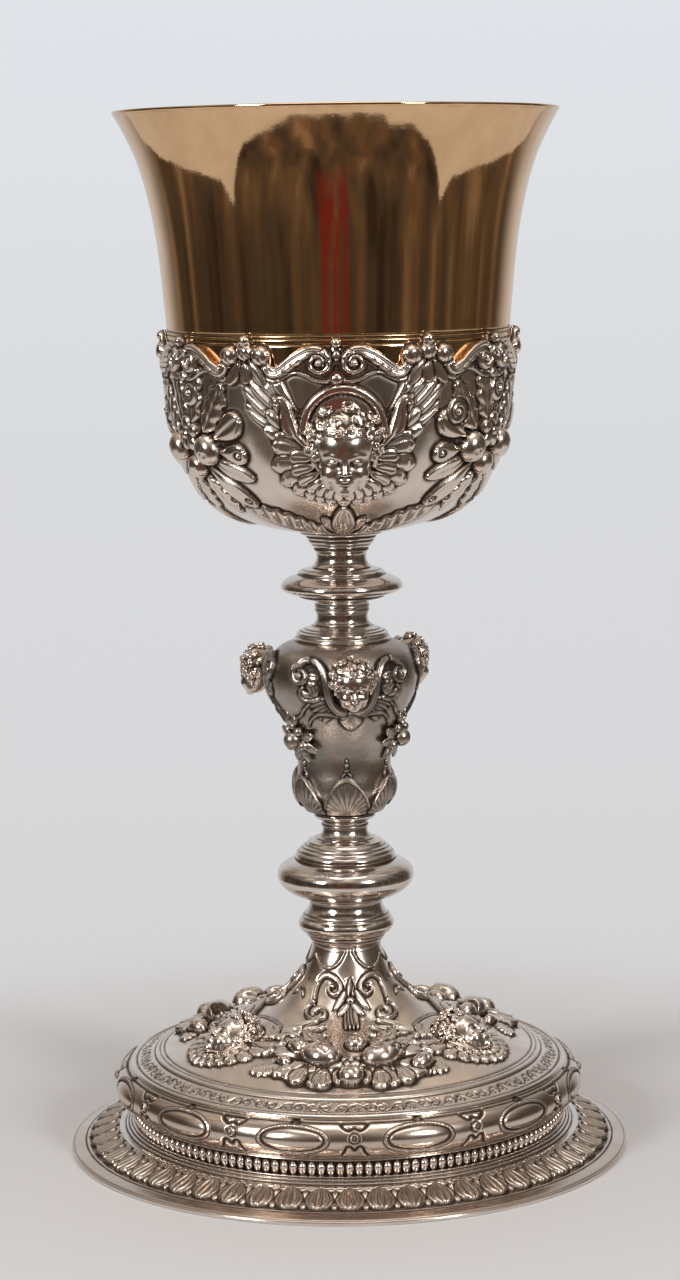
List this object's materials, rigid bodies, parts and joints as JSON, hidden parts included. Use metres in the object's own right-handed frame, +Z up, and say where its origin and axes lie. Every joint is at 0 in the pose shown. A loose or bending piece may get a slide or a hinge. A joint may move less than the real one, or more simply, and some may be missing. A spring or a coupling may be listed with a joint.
{
  "type": "chalice",
  "caption": "Communion chalice: flared gilt cup in an openwork silver calyx, stem of turned knops with an urn-shaped node, and domed foot on a wide flange.",
  "frame": {"origin": "on the axis, at the plane the foot rests on", "axes": "+Z up along the axis of the chalice; -Y is the front, with one figure of the foot's fruit clusters facing it"},
  "size_m": [0.1388, 0.1388, 0.255],
  "materials": {
    "silver": "polished silver, lightly toned",
    "silver_relief": "chased silver with dark recesses",
    "silver_matt": "dull toned silver",
    "gilt": "polished gilding over silver",
    "steel": "plain turned metal"
  },
  "bodies": {
    "stand": {"tie_rod": "steel", "rod_coupling": "steel", "cup_collar": "silver", "upper_neck": "silver", "upper_knop": "silver", "middle_neck": "silver", "node_cap": "silver", "node_vase": "silver_matt", "node_leaf_cup": "silver_relief", "node_cherub_heads": "silver_relief", "node_fruit_clusters": "silver_relief", "lower_neck": "silver", "lower_knop": "silver", "small_knop": "silver", "foot_collar_ring": "silver", "foot_dome": "silver_relief", "foot_plate": "steel", "foot_upper_wire": "silver", "foot_band": "silver_relief", "foot_step_ring": "silver", "foot_bead_wire": "silver", "foot_flange": "silver_relief", "foot_rim_wire": "silver"},
    "calyx": {"calyx": "silver_relief"},
    "cup": {"cup": "gilt", "cup_boss": "gilt", "cup_screw": "steel"},
    "washer": {"rod_washer": "steel"},
    "nut": {"rod_nut": "steel"}
  },
  "joints": [
    {"name": "calyx_lift", "type": "slide", "parent": "stand", "child": "calyx", "axis": [0, 0, 1], "range_m": [0, 0.0065]},
    {"name": "cup_unscrew", "type": "hinge", "parent": "calyx", "child": "cup", "pos_m": [0, 0, 0.155], "axis": [0, 0, 1], "range_deg": [0, 2880]},
    {"name": "washer_drop", "type": "slide", "parent": "stand", "child": "washer", "axis": [0, 0, -1], "range_m": [0, 0.004]},
    {"name": "nut_unscrew", "type": "hinge", "parent": "washer", "child": "nut", "pos_m": [0, 0, 0.0325], "axis": [0, 0, -1], "range_deg": [0, 1800]}
  ],
  "couplings": [
    {"joint": "calyx_lift", "follows": "cup_unscrew", "m_per_rad": 0.00012732},
    {"joint": "nut_unscrew", "follows": "washer_drop", "rad_per_m": 7854}
  ]
}
